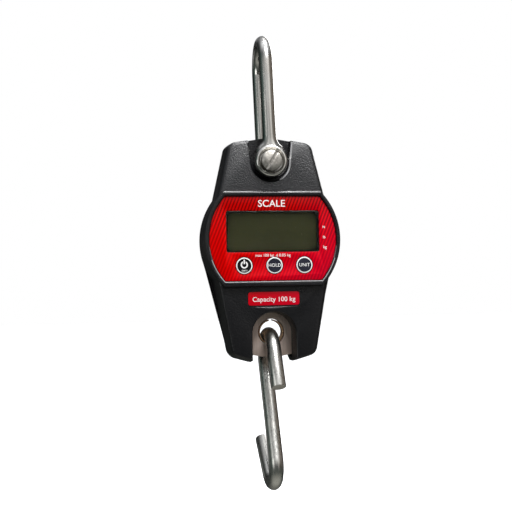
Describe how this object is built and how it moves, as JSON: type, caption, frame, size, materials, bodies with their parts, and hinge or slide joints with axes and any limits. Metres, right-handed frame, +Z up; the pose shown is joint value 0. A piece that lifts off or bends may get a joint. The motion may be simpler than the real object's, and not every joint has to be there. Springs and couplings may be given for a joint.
{
  "type": "crane scale",
  "caption": "Hand-held digital crane scale: a shackle with a screw pin, a flat casing with a display and keys, and a hanging S-hook.",
  "frame": {"origin": "inside of the shackle's crown, where the scale hangs", "axes": "+Z up along the hanging line, -Y towards the reader of the display, +X to the reader's right"},
  "size_m": [0.0791, 0.0538, 0.2587],
  "materials": {
    "shell_plastic": "fine spark texture, black",
    "red_film": "glossy printed film",
    "bar_steel": "polished bar with drawing marks",
    "cell_metal": "ground plate, upright grain",
    "bronze": "rolled bush strip",
    "zinc": "zinc plated",
    "clear_window": "clear, glossy",
    "lcd": "switched-off display",
    "key_black": "printed key, white ring",
    "board_green": "solder mask",
    "white_plastic": "diffusing plastic",
    "rubber": "soft elastomer",
    "battery_skin": "plain shrink sleeve",
    "gauge_film": "amber film"
  },
  "bodies": {
    "shackle": {"shackle_bow": "bar_steel", "shackle_pin": "bar_steel"},
    "casing": {"load_cell": "cell_metal", "pin_bush": "bronze", "pin_spacer_front": "zinc", "pin_spacer_rear": "zinc", "strain_gauge_1": "gauge_film", "strain_gauge_2": "gauge_film", "strain_gauge_3": "gauge_film", "strain_gauge_4": "gauge_film", "gauge_lead": "white_plastic", "front_cover": "shell_plastic", "rear_cover": "shell_plastic", "graphic_panel": "red_film", "capacity_label": "red_film", "case_screw_1": "zinc", "case_screw_2": "zinc", "case_screw_3": "zinc", "case_screw_4": "zinc", "cell_screw_1": "zinc", "cell_screw_2": "zinc", "display_window": "clear_window", "lcd_glass": "lcd", "backlight": "white_plastic", "display_connector": "rubber", "main_board": "board_green", "controller_chip": "key_black", "buzzer": "key_black", "board_screw_1": "zinc", "board_screw_2": "zinc", "board_screw_3": "zinc", "board_screw_4": "zinc", "key_switch_power": "zinc", "key_switch_hold": "zinc", "key_switch_unit": "zinc", "battery_tray": "shell_plastic", "battery_1": "battery_skin", "battery_2": "battery_skin", "battery_3": "battery_skin", "contact_spring_1": "zinc", "contact_spring_2": "zinc", "contact_spring_3": "zinc", "contact_plate_1": "zinc", "contact_plate_2": "zinc", "contact_plate_3": "zinc"},
    "hook_bush": {"eye_bush": "bronze"},
    "hook": {"s_hook": "bar_steel"},
    "power_key": {"button_power": "key_black"},
    "hold_key": {"button_hold": "key_black"},
    "unit_key": {"button_unit": "key_black"},
    "door": {"battery_door": "shell_plastic"}
  },
  "joints": [
    {"name": "casing_swing", "type": "hinge", "parent": "shackle", "child": "casing", "pos_m": [0.002, 0, -0.0679], "axis": [0, 1, 0], "range_deg": [-28, 28]},
    {"name": "hook_swing", "type": "hinge", "parent": "casing", "child": "hook_bush", "pos_m": [0.002, 0, -0.1629], "axis": [0, 1, 0], "range_deg": [-20, 20]},
    {"name": "hook_rock", "type": "hinge", "parent": "hook_bush", "child": "hook", "pos_m": [0.0012, 0, -0.1768], "axis": [0.9976, 0.0698, 0], "range_deg": [-16, 16]},
    {"name": "power_press", "type": "slide", "parent": "casing", "child": "power_key", "axis": [0, 1, 0], "range_m": [0, 0.0005], "stiffness_N_per_m": 600},
    {"name": "hold_press", "type": "slide", "parent": "casing", "child": "hold_key", "axis": [0, 1, 0], "range_m": [0, 0.0005], "stiffness_N_per_m": 600},
    {"name": "unit_press", "type": "slide", "parent": "casing", "child": "unit_key", "axis": [0, 1, 0], "range_m": [0, 0.0005], "stiffness_N_per_m": 600},
    {"name": "door_slide", "type": "slide", "parent": "casing", "child": "door", "axis": [0, 0, -1], "range_m": [0, 0.022]}
  ]
}
